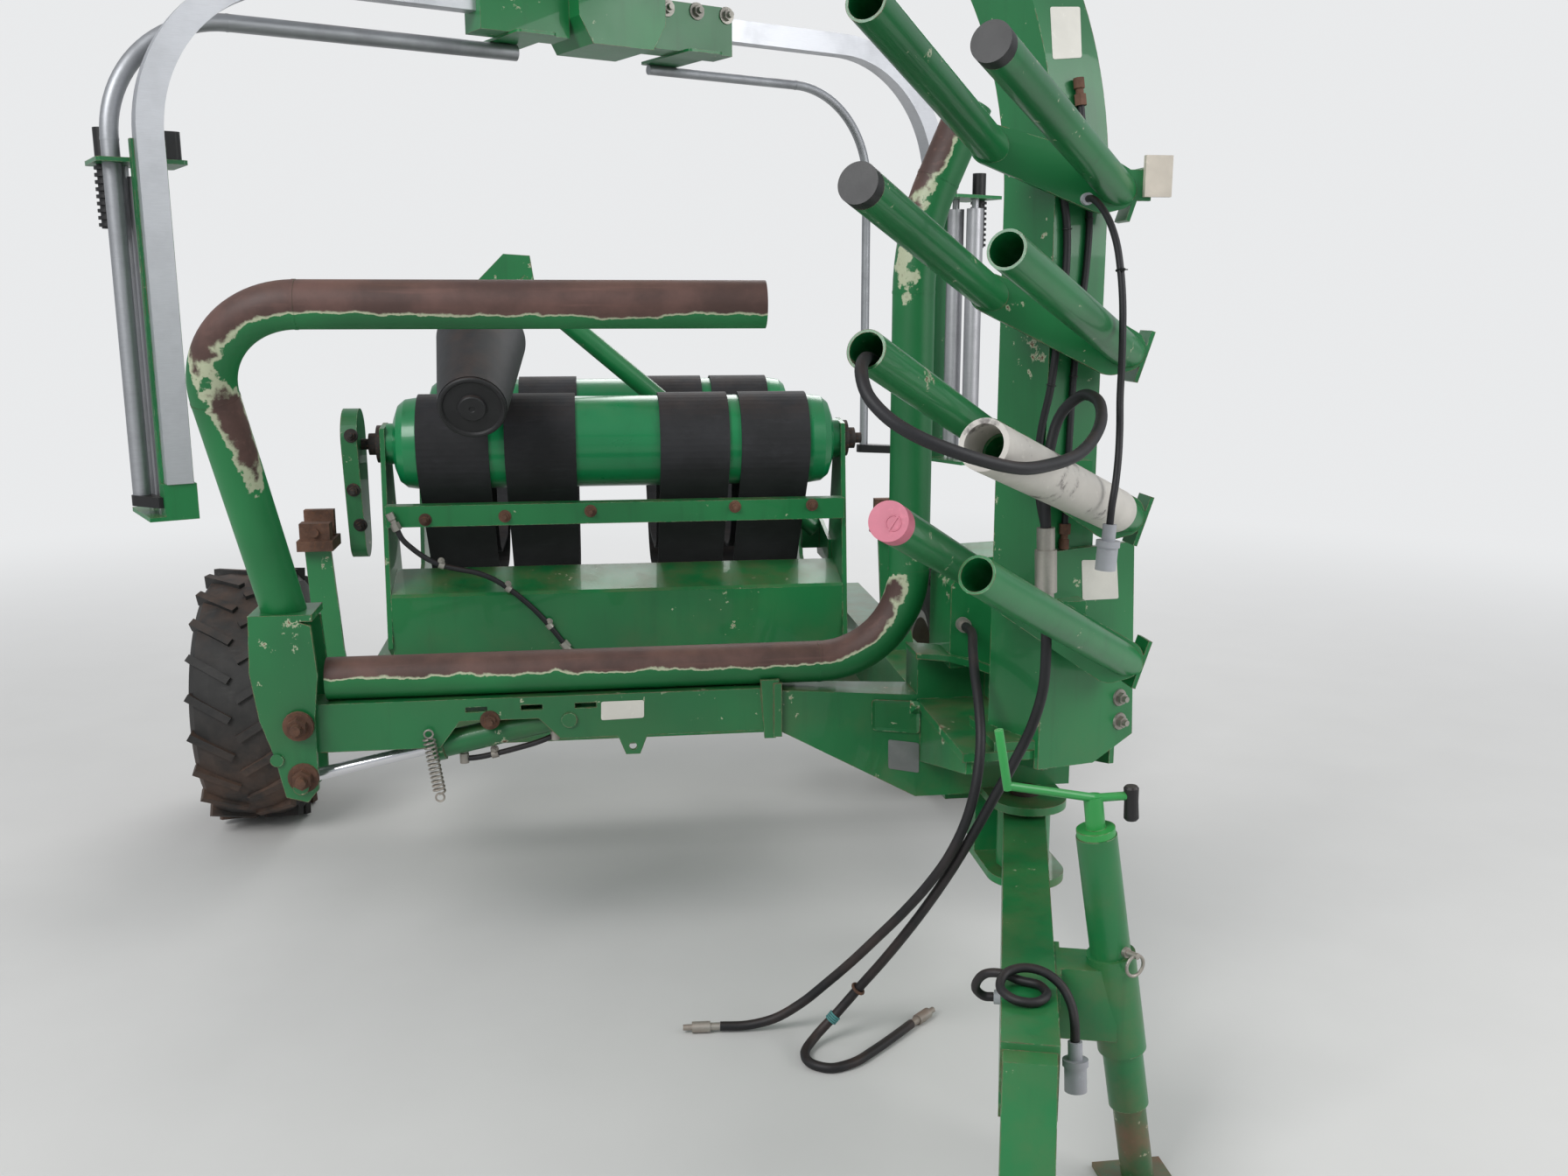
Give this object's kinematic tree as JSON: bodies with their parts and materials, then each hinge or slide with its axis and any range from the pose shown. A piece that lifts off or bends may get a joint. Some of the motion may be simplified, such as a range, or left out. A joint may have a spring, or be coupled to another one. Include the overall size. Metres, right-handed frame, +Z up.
{
  "type": "trailed round bale wrapper",
  "caption": "Trailed farm wrapper that carries a round bale on a belted table under a turning arch with two film dispensers.",
  "frame": {"origin": "on the ground below the middle of the machine's outer box", "axes": "+Z up, -Y towards the drawbar and the front, +X towards the mast"},
  "size_m": [2.8992, 3.6425, 2.83],
  "materials": {
    "green_paint": "worn gloss paint, chipped along edges",
    "rim_paint": "dusty pale paint",
    "drum_paint": "glossy paint polished by the belts",
    "worn_paint": "paint worn to brown rust on the side that meets the bale",
    "tyre_rubber": "dusty black rubber",
    "belt_rubber": "flat woven rubber belting",
    "black_rubber": "smooth black rubber",
    "silver_box": "silver box section",
    "roller_steel": "bare ribbed roller",
    "bar_steel": "dull galvanised tube",
    "chrome_rod": "polished rod",
    "dark_steel": "greasy bearing housings",
    "rusty_steel": "rust-brown bare steel",
    "black_plastic": "black moulded plastic",
    "pink_plastic": "faded pink plastic",
    "white_plastic": "dusty white plastic tube",
    "zinc_steel": "zinc-plated hose fittings",
    "plug_plastic": "grey moulded plug",
    "reflector_plastic": "pale reflector"
  },
  "bodies": {
    "chassis": {"axle_beam": "green_paint", "chassis_box": "green_paint", "front_beam": "green_paint", "guard_tube": "green_paint", "pivot_housing": "green_paint", "drawbar_pin": "dark_steel", "mast_column": "green_paint", "mast_beam": "green_paint", "peg_brackets": "green_paint", "roll_pegs": "green_paint", "peg_caps": "black_plastic", "pink_cap": "pink_plastic", "film_core": "white_plastic", "reflector": "reflector_plastic", "cut_hold_links": "green_paint", "cut_hold_units": "rusty_steel", "sling_hose": "black_rubber", "long_hose": "black_rubber", "short_hose": "black_rubber", "hose_couplers": "zinc_steel", "control_cable": "black_rubber", "control_plug": "plug_plastic"},
    "wheel_right": {"rim_right": "rim_paint", "tyre_right": "tyre_rubber"},
    "wheel_left": {"rim_left": "rim_paint", "tyre_left": "tyre_rubber"},
    "table": {"table_frame": "green_paint", "drum_front": "drum_paint", "drum_rear": "drum_paint", "belts": "belt_rubber", "chain_cover": "green_paint", "drum_bearings": "dark_steel", "tray": "green_paint", "end_roller_arm": "green_paint"},
    "cone": {"cone_roller": "black_rubber"},
    "satellite": {"hub_box": "green_paint", "arch_arms": "silver_box", "dispenser_frames": "green_paint", "stretch_rollers": "roller_steel", "gear_covers": "black_plastic", "safety_bars": "bar_steel"},
    "load_arm": {"load_lever": "green_paint", "load_arm_tube": "worn_paint"},
    "arm_barrel": {"arm_barrel": "green_paint"},
    "arm_rod": {"arm_rod": "chrome_rod"},
    "tip_barrel": {"tip_barrel": "green_paint"},
    "tip_rod": {"tip_rod": "chrome_rod"},
    "drawbar": {"drawbar": "green_paint", "hitch_eye": "dark_steel", "jack_tube": "green_paint", "jack_crank": "green_paint", "bar_cable": "black_rubber", "bar_plug": "plug_plastic"},
    "jack_leg": {"jack_leg": "green_paint"}
  },
  "joints": [
    {"name": "wheel_right_spin", "type": "hinge", "parent": "chassis", "child": "wheel_right", "pos_m": [-1.19, 1.09, 0.418], "axis": [1, 0, 0], "continuous": true},
    {"name": "wheel_left_spin", "type": "hinge", "parent": "chassis", "child": "wheel_left", "pos_m": [1.19, 1.09, 0.418], "axis": [1, 0, 0], "continuous": true},
    {"name": "satellite_spin", "type": "hinge", "parent": "chassis", "child": "satellite", "pos_m": [0, 1.09, 2.6], "axis": [0, 0, 1], "continuous": true},
    {"name": "load_arm_swing", "type": "hinge", "parent": "chassis", "child": "load_arm", "pos_m": [-0.767, -0.36, 0.744], "axis": [0, -1, 0], "range_deg": [0, 65]},
    {"name": "arm_barrel_turn", "type": "hinge", "parent": "chassis", "child": "arm_barrel", "pos_m": [-0.15, -0.36, 0.728], "axis": [0, -1, 0], "range_deg": [-6.95, 0.5]},
    {"name": "arm_rod_slide", "type": "slide", "parent": "arm_barrel", "child": "arm_rod", "axis": [-0.9792, 0, -0.2031], "range_m": [-0.1436, 0.002]},
    {"name": "table_tilt", "type": "hinge", "parent": "chassis", "child": "table", "pos_m": [0, 1.44, 0.6], "axis": [-1, 0, 0], "range_deg": [0, 35]},
    {"name": "tip_barrel_turn", "type": "hinge", "parent": "chassis", "child": "tip_barrel", "pos_m": [0, 0.422, 0.53], "axis": [1, 0, 0], "range_deg": [-0.5, 16.15]},
    {"name": "tip_rod_slide", "type": "slide", "parent": "tip_barrel", "child": "tip_rod", "axis": [0, 0.9691, 0.2466], "range_m": [-0.002, 0.2137]},
    {"name": "cone_spin", "type": "hinge", "parent": "table", "child": "cone", "pos_m": [-0.392, 0.21, 1.424], "axis": [0.0155, 0.9054, 0.4243], "continuous": true},
    {"name": "drawbar_swing", "type": "hinge", "parent": "chassis", "child": "drawbar", "pos_m": [0.955, -0.47, 0.41], "axis": [0, 0, 1], "range_deg": [0, 37]},
    {"name": "jack_leg_slide", "type": "slide", "parent": "drawbar", "child": "jack_leg", "axis": [-0.1616, 0, 0.9869], "range_m": [0, 0.165]}
  ],
  "couplings": [
    {"joint": "arm_barrel_turn", "follows": "load_arm_swing", "ratio": -0.099262},
    {"joint": "arm_rod_slide", "follows": "load_arm_swing", "m_per_rad": -0.1248},
    {"joint": "tip_barrel_turn", "follows": "table_tilt", "ratio": 0.44703},
    {"joint": "tip_rod_slide", "follows": "table_tilt", "m_per_rad": 0.34652}
  ]
}
